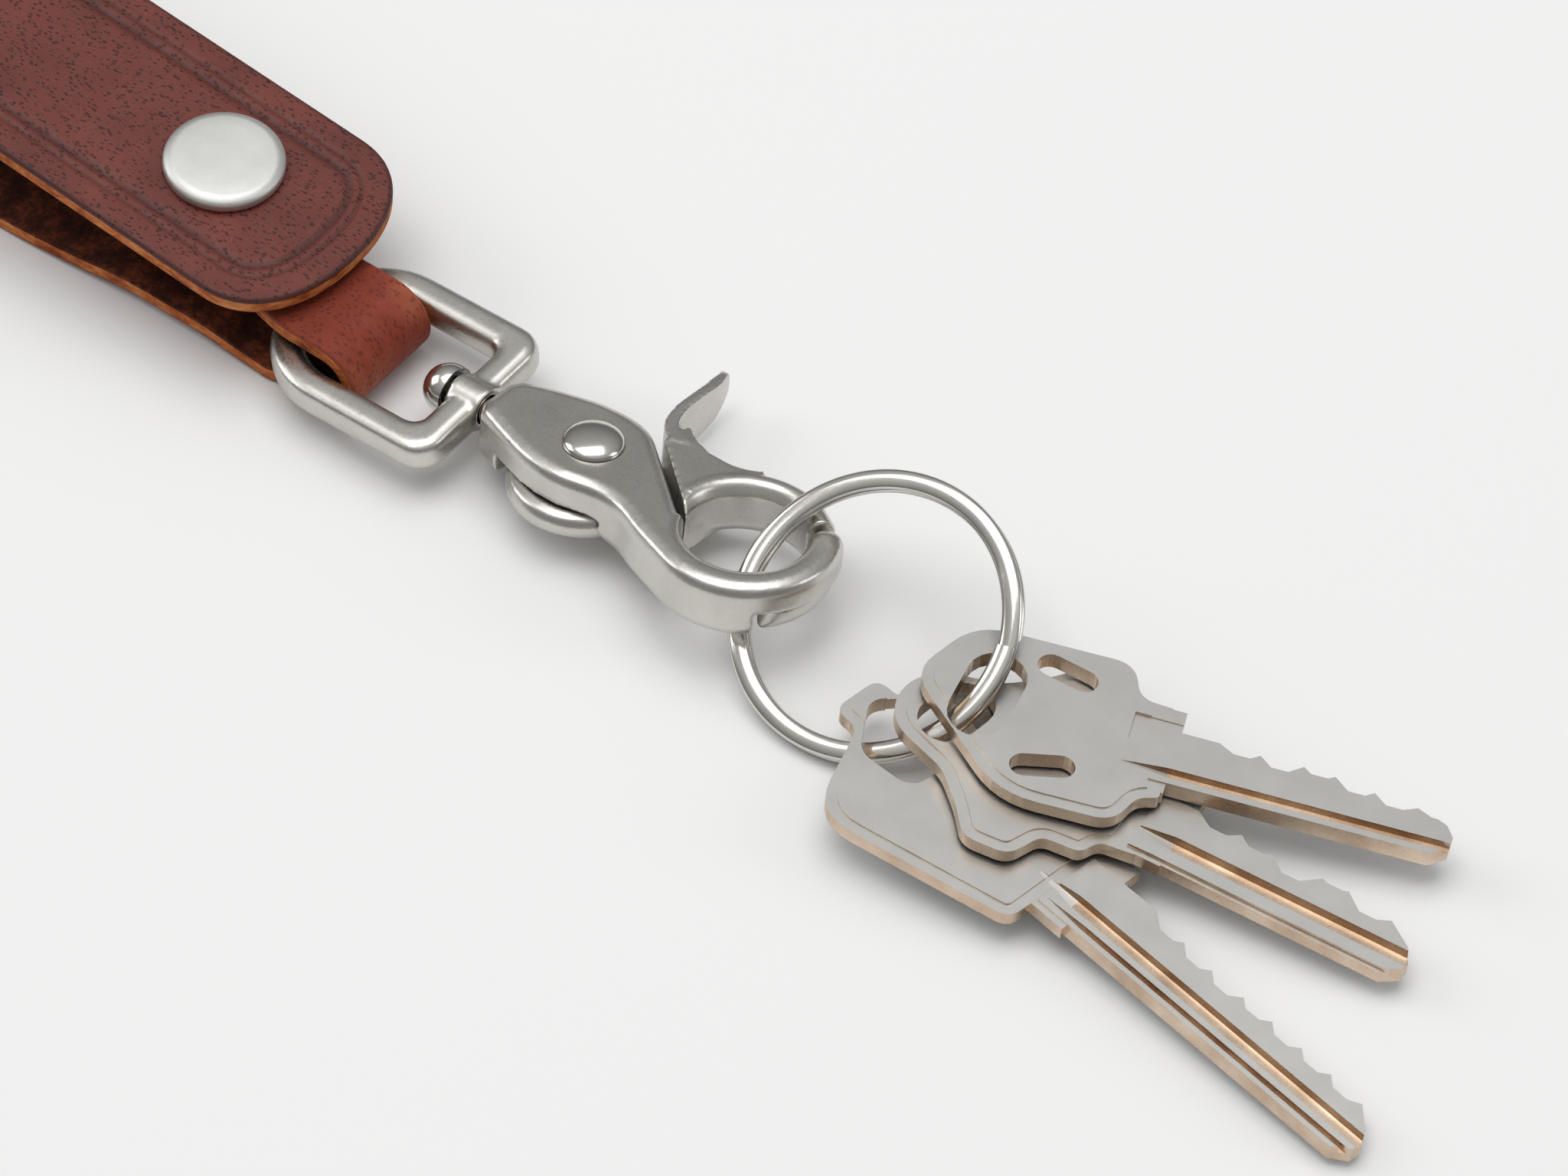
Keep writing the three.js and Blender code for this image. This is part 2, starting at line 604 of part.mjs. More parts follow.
// Each key: where the shoulder's middle lies in the stack plane, its turn, its level and its
// shape. A groove is [middle y, width, depth, start x]; a stop is [end x, half width].
const keys = [
  {
    name: 'key_large',
    level: 0,
    place: [22.3, -6.6],
    turn: -8.5,
    bow: mirrored([
      [-3.2, 5.2, 0.4], [-3.2, 8.3, 1.6], [-24.6, 13.5, 4.5], [-29.3, 2.9, 1.4], [-32.5, 3.0, 2.8],
    ]),
    stop: [0.9, 5.4],
    blade: {
      length: 36.6, near: -4.7, far: 3.0, first: 31.4, pitch: 3.9,
      depths: [2.5, 2.3, 2.2, 2.0, 2.2, 1.9, 1.4],
    },
    grooves: [[-3.9, 0.7, 0.8, -3.0], [-2.1, 2.0, 0.7, -5.6]],
    windows: [roundedPolygon([
      [-31.1, 0.4, 1.6], [-27.0, -5.0, 1.6], [-20.4, -4.4, 2], [-20.0, 5.4, 2.5], [-26.4, 7.0, 3],
    ])],
  },
  {
    name: 'key_middle',
    level: 1,
    place: [24.3, 4.0],
    turn: 7.8,
    bow: mirrored([[-1.4, 5.4, 0.8], [-5.4, 6.0, 0.8], [-6.4, 8.1, 0.8], [-10.4, 8.5, 1], [-12.0, 12.2, 1.4],
      [-16.8, 12.6, 1.4], [-19.2, 9.5, 1.2], [-22.4, 6.4, 1.2], [-28.6, 4.2, 2], [-30.4, 1.6, 2.2]]),
    stop: [0.8, 5.4],
    blade: {
      length: 25.9, near: -5.0, far: 2.6, first: 20.2, pitch: 4.15, depths: [2.4, 1.0, 2.3, 1.2, 1.2],
    },
    grooves: [[-2.4, 2.2, 0.8, -4.4], [-4.85, 0.5, 0.5, -5.6]],
    windows: [slot(-24.6, 0.5, 8.6, 5.8, 76)],
  },
  {
    name: 'key_top',
    level: 2,
    place: [19.1, 9.4],
    turn: 22.1,
    bow: [[-0.6, 5.4, 0.5], [-4.2, 5.6, 1.6], [-5.6, 9.7, 2.6], [-21.6, 9.5, 3.4], [-26.0, 1.6, 3],
      [-14.6, -10.5, 4], [-3.2, -10.3, 3], [-1.6, -6.6, 1], [0.4, -6.0, 0.5]],
    stop: [0.6, 5.3],
    blade: {
      length: 28.3, near: -4.1, far: 2.8, first: 22.2, pitch: 3.85, depths: [2.2, 1.7, 0.8, 1.3, 0.9],
    },
    grooves: [[-2.8, 1.4, 0.7, -4.6]],
    step: { from: -4.2, y: 0.3, top: 3.7, depth: 0.35 },
    windows: [
      slot(-18.4, 1.0, 11.0, 6.0, 82), slot(-11.6, 6.2, 6.4, 2.8, -15), slot(-11.2, -6.0, 6.4, 2.8, 15),
    ],
  },
];

for (const key of keys) {
  const mesh = part(key.name, keySolid(key), 'key', stack);
  mesh.position.set(...key.place, KEY_T / 2 + key.level * KEY_STEP);
  mesh.rotation.z = key.turn * RAD;
}

// ---- Origin at the middle of the footprint, on the surface the object lies on ---------------

model.updateMatrixWorld(true);
const extent = new THREE.Box3().setFromObject(model, true);
const middle = extent.getCenter(new THREE.Vector3());
model.position.set(-middle.x, -middle.y, -extent.min.z);

export default model;
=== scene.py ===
"""Key organiser: a folded leather belt loop closed by a snap, a swivel eye with a trigger snap hook,
a split ring and three flat keys, lying on a pale surface. Metres in the shared frame; the small
driving dimensions below are in millimetres."""

import json
import math

import bmesh
import bpy
from mathutils import Matrix, Vector


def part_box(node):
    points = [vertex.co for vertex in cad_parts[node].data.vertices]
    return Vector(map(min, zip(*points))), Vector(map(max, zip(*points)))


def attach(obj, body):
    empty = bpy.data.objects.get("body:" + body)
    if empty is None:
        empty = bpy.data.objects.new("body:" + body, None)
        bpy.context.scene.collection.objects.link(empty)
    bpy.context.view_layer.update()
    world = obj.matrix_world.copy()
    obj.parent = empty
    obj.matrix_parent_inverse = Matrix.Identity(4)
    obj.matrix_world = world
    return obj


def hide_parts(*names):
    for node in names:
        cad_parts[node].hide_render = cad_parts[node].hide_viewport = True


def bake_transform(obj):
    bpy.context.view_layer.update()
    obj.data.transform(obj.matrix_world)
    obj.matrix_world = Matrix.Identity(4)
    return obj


bl_info = {
    "name": "Key organiser",
    "version": (1, 0, 0),
    "blender": (4, 5, 0),
    "location": "View3D > Sidebar > Key organiser",
    "description": "Builds a leather belt-loop key organiser piece by piece",
    "category": "Add Mesh",
}

MM = 0.001
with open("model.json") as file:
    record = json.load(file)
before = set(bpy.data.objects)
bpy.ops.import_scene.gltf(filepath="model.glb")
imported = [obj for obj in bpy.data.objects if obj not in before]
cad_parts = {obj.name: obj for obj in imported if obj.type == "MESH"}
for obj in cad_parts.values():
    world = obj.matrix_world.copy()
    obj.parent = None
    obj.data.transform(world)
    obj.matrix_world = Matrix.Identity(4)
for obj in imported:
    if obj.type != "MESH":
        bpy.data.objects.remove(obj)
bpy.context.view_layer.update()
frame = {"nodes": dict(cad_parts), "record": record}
record = frame["record"]
joints = {joint["name"]: joint for joint in record["behaviour"]["joints"]}
mounts = {mount["name"]: mount for mount in record["mounts"]}

# The pivot of the trigger, in drawing millimetres. It ties the drawing to the shared frame.
PIVOT = (0.4, -0.4, 6.15)
DRAWING = Matrix.Translation(Vector(joints["trigger_pull"]["pos_m"]) - Vector(PIVOT) * MM)


def place(joint, x_hint=(1, 0, 0)):
    """A frame on a joint: Z along its axis, X as near the hint as it can be."""
    z = Vector(joints[joint]["axis"]).normalized()
    x = Vector(x_hint) - z * z.dot(Vector(x_hint))
    x.normalize()
    matrix = Matrix((x, z.cross(x), z)).transposed().to_4x4()
    matrix.translation = Vector(joints[joint]["pos_m"])
    return matrix


# ---- Shapes ---------------------------------------------------------------------------------


def make_object(name, vertices, faces, matrix=None, smooth=True, uv=None, slots=None):
    """A mesh object from millimetre vertices, placed by a matrix."""
    mesh = bpy.data.meshes.new(name)
    mesh.from_pydata([Vector(v) * MM for v in vertices], [], faces)
    if uv is not None:
        layer = mesh.uv_layers.new(name="flat")
        for loop in mesh.loops:
            layer.data[loop.index].uv = uv[loop.vertex_index]
    if slots is not None:
        mesh.polygons.foreach_set("material_index", slots)
    mesh.polygons.foreach_set("use_smooth", [smooth] * len(mesh.polygons))
    mesh.update()
    obj = bpy.data.objects.new(name, mesh)
    bpy.context.scene.collection.objects.link(obj)
    if matrix is not None:
        obj.matrix_world = matrix
    return obj


def flatten_modifiers(obj):
    """Turns an object's modifiers into its own mesh."""
    graph = bpy.context.evaluated_depsgraph_get()
    graph.update()
    mesh = bpy.data.meshes.new_from_object(obj.evaluated_get(graph))
    obj.modifiers.clear()
    obj.data = mesh
    return obj


def arc(cx, cy, radius, start, end, steps):
    """Points on an arc, angles in degrees."""
    points = []
    for i in range(steps + 1):
        angle = math.radians(start + (end - start) * i / steps)
        points.append((cx + radius * math.cos(angle), cy + radius * math.sin(angle)))
    return points


def rounded(corners, steps=5, closed=True):
    """A polyline with each corner (x, y, reach) replaced by a smooth curve."""
    points = []
    count = len(corners)
    for i, (x, y, reach) in enumerate(corners):
        if not closed and i in (0, count - 1) or reach == 0:
            points.append((x, y))
            continue
        corner = Vector((x, y))
        before = Vector(corners[i - 1][:2]) - corner
        after = Vector(corners[(i + 1) % count][:2]) - corner
        cut = min(reach, before.length * 0.49, after.length * 0.49)
        start = corner + before.normalized() * cut
        end = corner + after.normalized() * cut
        for step in range(steps + 1):
            t = step / steps
            point = start * (1 - t) ** 2 + corner * 2 * t * (1 - t) + end * t ** 2
            points.append(tuple(point))
    return points


def mirrored(corners):
    """The upper corners followed by the same ones below the axis."""
    return corners + [(x, -y, reach) for x, y, reach in reversed(corners)]


def offset(points, distance):
    """A closed outline moved inwards, without the loops that tight corners would leave."""
    count = len(points)
    area = sum(points[i - 1][0] * points[i][1] - points[i][0] * points[i - 1][1] for i in range(count))
    side = 1 if area > 0 else -1
    moved = []
    for i in range(count):
        before = Vector(points[i]) - Vector(points[i - 1])
        after = Vector(points[(i + 1) % count]) - Vector(points[i])
        along = (before.normalized() + after.normalized()).normalized()
        normal = Vector((-along.y, along.x)) * side
        point = Vector(points[i]) + normal * distance
        if min((point - Vector(other)).length for other in points) < distance * 0.985:
            continue
        # A tight corner turns the moved edge back on itself; such points are left out.
        if moved and (point - Vector(moved[-1])).dot(before) < 0.02 * before.length:
            continue
        moved.append(tuple(point))
    return moved


def lathe(name, profile, matrix, sides=72):
    """A solid turned about Z from (radius, height) points that start and end on the axis."""
    vertices = [(0, 0, profile[0][1])]
    faces = []
    rings = profile[1:-1]
    for radius, height in rings:
        for k in range(sides):
            angle = 2 * math.pi * k / sides
            vertices.append((radius * math.cos(angle), radius * math.sin(angle), height))
    last = len(vertices)
    vertices.append((0, 0, profile[-1][1]))
    for k in range(sides):
        after = (k + 1) % sides
        faces.append((0, 1 + after, 1 + k))
        for r in range(len(rings) - 1):
            low = 1 + r * sides
            high = low + sides
            faces.append((low + k, low + after, high + after, high + k))
        top = 1 + (len(rings) - 1) * sides
        faces.append((last, top + k, top + after))
    return make_object(name, vertices, faces, matrix)


def tube(loops, closed=False):
    """Vertices and faces of a skin through equal loops, capped unless it is closed on itself."""
    count = len(loops[0])
    vertices = [point for loop in loops for point in loop]
    faces = []
    for i in range(len(loops) if closed else len(loops) - 1):
        here = i * count
        there = ((i + 1) % len(loops)) * count
        for k in range(count):
            after = (k + 1) % count
            faces.append((here + k, here + after, there + after, there + k))
    if not closed:
        faces.append(tuple(reversed(range(count))))
        faces.append(tuple(range(len(vertices) - count, len(vertices))))
    return vertices, faces


def slab(points, low, high):
    """A prism between two heights."""
    loops = [[(x, y, z) for x, y in points] for z in (low, high)]
    vertices, faces = tube(loops)
    return vertices, faces


def piece(name, vertices, faces):
    return make_object(name, vertices, faces, smooth=False)


def combine(base, others, operation):
    """Joins or cuts the base with other objects, which are then removed."""
    for other in others:
        mesh = other.data
        work = bmesh.new()
        work.from_mesh(mesh)
        bmesh.ops.recalc_face_normals(work, faces=work.faces)
        work.to_mesh(mesh)
        work.free()
        modifier = base.modifiers.new("combine", "BOOLEAN")
        modifier.object = other
        modifier.operation = operation
        modifier.solver = "EXACT"
        flatten_modifiers(base)
        bpy.data.objects.remove(other)
    return base


def settle_normals(obj):
    work = bmesh.new()
    work.from_mesh(obj.data)
    bmesh.ops.recalc_face_normals(work, faces=work.faces)
    work.to_mesh(obj.data)
    work.free()


def soften(obj, width, segments=2, limit=28):
    """Rounds an object's sharp edges by a small width in millimetres."""
    bevel = obj.modifiers.new("edges", "BEVEL")
    bevel.width = width * MM
    bevel.segments = segments
    bevel.limit_method = "ANGLE"
    bevel.angle_limit = math.radians(limit)
    bevel.harden_normals = True
    return obj


def cast_from(name, node, voxel, passes):
    """A cast and tumbled piece: the solid's own shape with its edges worn round."""
    mesh = frame["nodes"][node].data.copy()
    mesh.materials.clear()
    obj = bpy.data.objects.new(name, mesh)
    bpy.context.scene.collection.objects.link(obj)
    remesh = obj.modifiers.new("skin", "REMESH")
    remesh.mode = "VOXEL"
    remesh.voxel_size = voxel * MM
    remesh.use_smooth_shade = True
    smooth = obj.modifiers.new("tumble", "SMOOTH")
    smooth.factor = 0.5
    smooth.iterations = passes
    flatten_modifiers(obj)
    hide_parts(node)
    return obj


# ---- Materials ------------------------------------------------------------------------------


def linear(code):
    """Linear RGBA from an sRGB hex code."""
    values = [int(code[i:i + 2], 16) / 255 for i in (1, 3, 5)]
    return tuple(v / 12.92 if v <= 0.04045 else ((v + 0.055) / 1.055) ** 2.4 for v in values) + (1.0,)


def put(tree, kind, inputs=None, **settings):
    """Adds a shader node with its settings, values and links."""
    node = tree.nodes.new("ShaderNode" + kind)
    for key, value in settings.items():
        setattr(node, key, value)
    for key, value in (inputs or {}).items():
        if isinstance(value, bpy.types.NodeSocket):
            tree.links.new(value, node.inputs[key])
        else:
            node.inputs[key].default_value = value
    return node


def ramp(tree, source, stops):
    """A colour ramp through (position, sRGB code) stops."""
    node = put(tree, "ValToRGB", {"Fac": source})
    elements = node.color_ramp.elements
    while len(elements) < len(stops):
        elements.new(0.5)
    for element, (position, code) in zip(elements, stops):
        element.position = position
        element.color = linear(code)
    return node.outputs["Color"]


def scaled(tree, output, factor, stretch=(1, 1, 1)):
    """Coordinates multiplied so that one unit is one millimetre, or less when stretched."""
    scale = [factor * value for value in stretch]
    return put(tree, "Mapping", {"Vector": output, "Scale": scale}).outputs["Vector"]


def noise(tree, vector, scale, detail=3.0, roughness=0.5):
    return put(tree, "TexNoise", {"Vector": vector, "Scale": scale, "Detail": detail, "Roughness": roughness})


def span(tree, source, low, high, start=0.0, end=1.0):
    """A value mapped from one range to another."""
    inputs = {"Value": source, "From Min": start, "From Max": end, "To Min": low, "To Max": high}
    return put(tree, "MapRange", inputs).outputs["Result"]


def bump(tree, height, strength, distance, normal=None):
    inputs = {"Height": height, "Strength": strength, "Distance": distance * MM}
    if normal is not None:
        inputs["Normal"] = normal
    return put(tree, "Bump", inputs).outputs["Normal"]


def new_material(name):
    material = bpy.data.materials.new(name)
    material.use_nodes = True
    tree = material.node_tree
    tree.nodes.clear()
    shader = put(tree, "BsdfPrincipled")
    output = put(tree, "OutputMaterial")
    tree.links.new(shader.outputs["BSDF"], output.inputs["Surface"])
    coordinates = put(tree, "TexCoord")
    return material, tree, shader, coordinates


def metal(name, dark, light, rough, grain, grain_depth, brushed=0.0):
    """A metal with a fine cast or brushed grain, in object millimetres."""
    material, tree, shader, coordinates = new_material(name)
    vector = scaled(tree, coordinates.outputs["Object"], 1000)
    patches = noise(tree, vector, 0.22, 4.0)
    fine = noise(tree, vector, grain, 4.0, 0.6)
    colour = ramp(tree, patches.outputs["Fac"], [(0.3, dark), (0.7, light)])
    tree.links.new(colour, shader.inputs["Base Color"])
    roughness = span(tree, fine.outputs["Fac"], rough * 0.82, rough * 1.25, 0.25, 0.75)
    tree.links.new(roughness, shader.inputs["Roughness"])
    shader.inputs["Metallic"].default_value = 1.0
    normal = bump(tree, fine.outputs["Fac"], 0.35, grain_depth)
    if brushed:
        lines = noise(tree, scaled(tree, coordinates.outputs["Object"], 1000, (0.06, 6.0, 1.0)), 1.6, 3.0)
        normal = bump(tree, lines.outputs["Fac"], brushed, 0.02, normal)
    tree.links.new(normal, shader.inputs["Normal"])
    return material


def leather_grain(name, dark, light, deep, scuff, pore=0.75, suede=0.0):
    """Grain side of vegetable-tanned leather: scattered pores, cloudy dye, a low waxy sheen."""
    material, tree, shader, coordinates = new_material(name)
    flat = scaled(tree, coordinates.outputs["UV"], 1000)
    clouds = noise(tree, flat, 0.11, 5.0, 0.55)
    wide = noise(tree, scaled(tree, coordinates.outputs["UV"], 1000, (0.5, 1.3, 1.0)), 0.5, 4.0)
    colour = ramp(tree, clouds.outputs["Fac"], [(0.28, dark), (0.55, light), (0.8, scuff)])
    # Real pores lie closer than they would show, so these stand about half a millimetre apart.
    pores = put(tree, "TexVoronoi", {
        "Vector": scaled(tree, coordinates.outputs["UV"], 1000, (0.7, 1.3, 1.0)),
        "Scale": 2.0,
        "Randomness": 0.9,
    })
    reach = noise(tree, flat, 0.9, 2.0)
    hollow = put(tree, "Math", {
        0: pores.outputs["Distance"], 1: span(tree, reach.outputs["Fac"], -0.12, 0.04, 0.35, 0.65),
    }, operation="ADD")
    pit = span(tree, hollow.outputs["Value"], 0.0, 1.0, 0.14, 0.36)
    pitted = put(tree, "Mix", {0: span(tree, pit, pore, 0.0), 6: colour, 7: linear(deep)}, data_type="RGBA")
    crease = put(tree, "Attribute", attribute_name="crease")
    creased = put(tree, "Mix", {
        0: span(tree, crease.outputs["Fac"], 0.0, 0.75), 6: pitted.outputs[2], 7: linear(deep),
    }, data_type="RGBA")
    tree.links.new(creased.outputs[2], shader.inputs["Base Color"])
    sheen = span(tree, wide.outputs["Fac"], 0.4 + suede, 0.6 + suede, 0.3, 0.7)
    tree.links.new(sheen, shader.inputs["Roughness"])
    shader.inputs["Specular IOR Level"].default_value = 0.42
    fibres = noise(tree, flat, 2.6, 5.0, 0.6)
    normal = bump(tree, fibres.outputs["Fac"], 0.45 + suede, 0.09)
    normal = bump(tree, pit, 0.7, 0.07, normal)
    tree.links.new(normal, shader.inputs["Normal"])
    return material


def leather_fibre(name, dark, middle, light, stretch):
    """Cut edge or flesh side: short matted fibres, dry and matt."""
    material, tree, shader, coordinates = new_material(name)
    vector = scaled(tree, coordinates.outputs["Object"], 1000, stretch)
    strands = noise(tree, vector, 1.5, 6.0, 0.7)
    blotches = noise(tree, scaled(tree, coordinates.outputs["Object"], 1000), 0.35, 4.0)
    mixed = put(tree, "Math", {0: strands.outputs["Fac"], 1: blotches.outputs["Fac"]}, operation="ADD")
    value = span(tree, mixed.outputs["Value"], 0.0, 1.0, 0.7, 1.3)
    colour = ramp(tree, value, [(0.1, dark), (0.5, middle), (0.95, light)])
    tree.links.new(colour, shader.inputs["Base Color"])
    shader.inputs["Roughness"].default_value = 0.86
    shader.inputs["Specular IOR Level"].default_value = 0.25
    tree.links.new(bump(tree, strands.outputs["Fac"], 0.7, 0.22), shader.inputs["Normal"])
    return material


def materials():
    """Every finish by its real name. They are made once."""
    if "tumbled stainless" in bpy.data.materials:
        return {m.name: m for m in bpy.data.materials}
    # Cast stainless from the tumbler: pale warm grey, soft broad highlights, fine pitted skin.
    metal("tumbled stainless", "#C6C3BD", "#D2CFC9", 0.3, 3.2, 0.02)
    # The same steel where the tumbler left it brighter: rivet head, swivel post and ring.
    metal("polished steel", "#CBC8C2", "#DAD7D1", 0.15, 2.0, 0.006)
    # Satin nickel plate on the cap: greyish, nearly matt, very fine grain.
    metal("satin nickel", "#CDCDCA", "#D8D8D5", 0.48, 6.0, 0.03)
    # Nickel-plated brass key faces: grey, with fine scratches roughly along the key.
    metal("nickel-plated brass", "#C3C2BF", "#CBCAC7", 0.36, 4.0, 0.006, 0.2)
    # Milled key brass where the plating is thin or cut away: warm pale gold.
    metal("milled key brass", "#BFA68E", "#E0CDB9", 0.28, 3.0, 0.012, 0.12)
    # Drawn brass of the hidden snap pieces.
    metal("plated snap brass", "#9C8A66", "#B5A47E", 0.38, 4.0, 0.01)
    metal("drawn spring wire", "#8F8E8A", "#A9A8A4", 0.3, 4.0, 0.01)
    # Dyed grain side of the flap: red-brown, dark pores in loose groups, darker where creased.
    leather_grain("bridle leather grain", "#5F261E", "#6E3027", "#260C09", "#78382A", 0.85)
    # The tab is bent hard, which lifts the dye: brighter orange red with pale scuffs.
    leather_grain("bent tab leather", "#702412", "#86321B", "#3E1208", "#A85A3C", 0.5, 0.16)
    # Undyed inside of the hide where the knife went through.
    leather_fibre("cut leather edge", "#7A3415", "#B4612F", "#D08A55", (0.5, 0.5, 1.6))
    # Rough flesh side: brown, with the shade of the gap under the flap painted in as dark brown, and lighter
    # loose fibres.
    leather_fibre("leather flesh side", "#2A110A", "#4A2012", "#7E4022", (1.0, 1.0, 1.0))
    return {m.name: m for m in bpy.data.materials}


def dress(obj, finishes, body, slot, *nodes):
    """Gives a piece its finishes, the body it rides on and the solids it stands for."""
    palette = materials()
    for name in finishes:
        obj.data.materials.append(palette[name])
    if nodes:
        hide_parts(*nodes)
    if body:
        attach(obj, body)
    return obj


# ---- Leather --------------------------------------------------------------------------------


class StrapSettings(bpy.types.PropertyGroup):
    thickness: bpy.props.FloatProperty(
        name="Thickness", description="Leather thickness in mm", default=2.0, min=1.0, max=4.0)
    fold_radius: bpy.props.FloatProperty(
        name="Fold radius", description="Mid-thickness radius of the belt-loop fold in mm", default=8.6)
    flap_half: bpy.props.FloatProperty(
        name="Flap half width", description="Half the flap's width in mm", default=12.85)
    tab_half: bpy.props.FloatProperty(
        name="Tab half width", description="Half the width of the tab inside the eye in mm", default=6.1)
    crease_inset: bpy.props.FloatProperty(
        name="Crease inset", description="Distance of the creased line from the edge in mm", default=3.25)
    crease_width: bpy.props.FloatProperty(
        name="Crease width", description="Distance between the crease's two lines in mm", default=1.35)
    crease_depth: bpy.props.FloatProperty(
        name="Crease depth", description="Depth of the creased line in mm", default=0.2)


# The strap's lines in the drawing. The flap's rounded tip is a superellipse of this power.
STRAP_Y = 3.05
FOLD_X = -110.0
TIP_X = -33.4
TIP_LENGTH = 9.6
TIP_POWER = 2.25
NO_END_NEAR = 99.0
TAB_NOSE = (-29.8, 4.45, 3.4)
SNAP_PLAN = (-51.0, 3.6)
BASE_RISE = [(-37, 1.1), (-41, 1.5), (-45.5, 2.05), (-51, 2.1), (-57, 2.05), (-62, 1.6), (-72, 1.1)]
TAB_RISE = [(-36, 7.75), (-41, 6.3), (-46, 4.6)]
# Lower layer's near and far edges by x.
PLAN = [
    (-110, -9.8, 15.9), (-95, -9.8, 15.9), (-72, -8.4, 13.0), (-51, -7.6, 10.5), (-37, -7.5, 8.2),
    (-33.5, -6.5, 5.7), (-25, -6.5, 5.7),
]


def curve_through(knots, step=0.5):
    """A smooth line through the knots, sampled about every step."""
    points = []
    for i in range(len(knots) - 1):
        p0 = Vector(knots[max(i - 1, 0)])
        p1 = Vector(knots[i])
        p2 = Vector(knots[i + 1])
        p3 = Vector(knots[min(i + 2, len(knots) - 1)])
        count = max(2, int((p2 - p1).length / step))
        for k in range(count):
            t = k / count
            point = (p1 * 2 + (p2 - p0) * t + (p0 * 2 - p1 * 5 + p2 * 4 - p3) * t * t
                     + (p1 * 3 - p0 - p2 * 3 + p3) * t ** 3) * 0.5
            points.append(tuple(point))
    points.append(tuple(knots[-1]))
    return points


def between(table, x, column):
    """A value read from a table of knots by a smooth step between neighbours."""
    rows = sorted(table)
    if x <= rows[0][0]:
        return rows[0][column]
    for low, high in zip(rows, rows[1:]):
        if x <= high[0]:
            t = (x - low[0]) / (high[0] - low[0])
            return low[column] + (high[column] - low[column]) * t * t * (3 - 2 * t)
    return rows[-1][column]


def stations(path, step):
    """Evenly spaced (place, tangent, distance along) on a polyline in XZ."""
    result = []
    travelled = 0.0
    due = 0.0
    for a, b in zip(path, path[1:]):
        a, b = Vector(a), Vector(b)
        length = (b - a).length
        if length == 0:
            continue
        while due <= travelled + length:
            result.append((a.lerp(b, (due - travelled) / length), (b - a).normalized(), due))
            due += step(due)
        travelled += length
    result.append((Vector(path[-1]), (Vector(path[-1]) - Vector(path[-2])).normalized(), travelled))
    return result


def edge_round(depth_in, radius):
    """How far a face has dropped at a given distance inside a rounded edge."""
    if depth_in >= radius:
        return 0.0
    return radius - math.sqrt(max(radius * radius - (radius - depth_in) ** 2, 0.0))


def leather_skin(name, settings, rows, grain_round, crease, start_number):
    """Skins a strip of leather. Each row holds its place, normal, edges and distance to the end."""
    half = settings.thickness / 2
    across = 110
    fractions = []
    for k in range(across + 1):
        t = k / across
        fractions.append(t + 0.06 * math.sin(4 * math.pi * t) * -0.5)
    middle = [f for f in fractions if 0.02 < f < 0.98]
    fractions = [0, 0.003, 0.008, 0.016] + middle + [0.984, 0.992, 0.997, 1]
    count = len(fractions)
    loops = []
    uv = []
    crease_values = []
    for place_xz, normal, near, far, end_distance, along in rows:
        top = []
        bottom = []
        depths = []
        for f in fractions:
            y = near + (far - near) * f
            depth_in = min(y - near, far - y, end_distance(y))
            depth_in = max(depth_in, 0.0)
            groove = 0.0
            if crease:
                outer = (depth_in - settings.crease_inset) / 0.26
                inner = (depth_in - settings.crease_inset - settings.crease_width) / 0.45
                groove = 0.7 * math.exp(-outer * outer) + math.exp(-inner * inner)
            drop = edge_round(depth_in, grain_round) + groove * settings.crease_depth
            up = half - drop
            down = -half + edge_round(depth_in, 0.25)
            top.append((place_xz.x + normal.x * up, y, place_xz.y + normal.y * up))
            bottom.append((place_xz.x + normal.x * down, y, place_xz.y + normal.y * down))
            burnish = 0.9 * math.exp(-(depth_in / 0.5) ** 2) if crease else 0.0
            depths.append(min(groove * 0.75 + burnish, 1.0))
        loops.append(top + bottom[::-1])
        uv += [((start_number + along) * MM, y[1] * MM) for y in top + bottom[::-1]]
        crease_values += depths + [0.0] * count
    vertices, faces = tube(loops)
    slots = []
    for face in faces[:-2]:
        k = face[0] % (2 * count)
        after = face[1] % (2 * count)
        if k < count and after < count and after > k:
            slots.append(0)
        elif k >= count and after >= count:
            slots.append(2)
        else:
            slots.append(1)
    slots += [1, 1]
    obj = make_object(name, vertices, faces, DRAWING, uv=uv, slots=slots)
    attribute = obj.data.attributes.new("crease", "FLOAT", "POINT")
    attribute.data.foreach_set("value", crease_values)
    settle_normals(obj)
    obj.data.set_sharp_from_angle(angle=math.radians(48))
    return obj


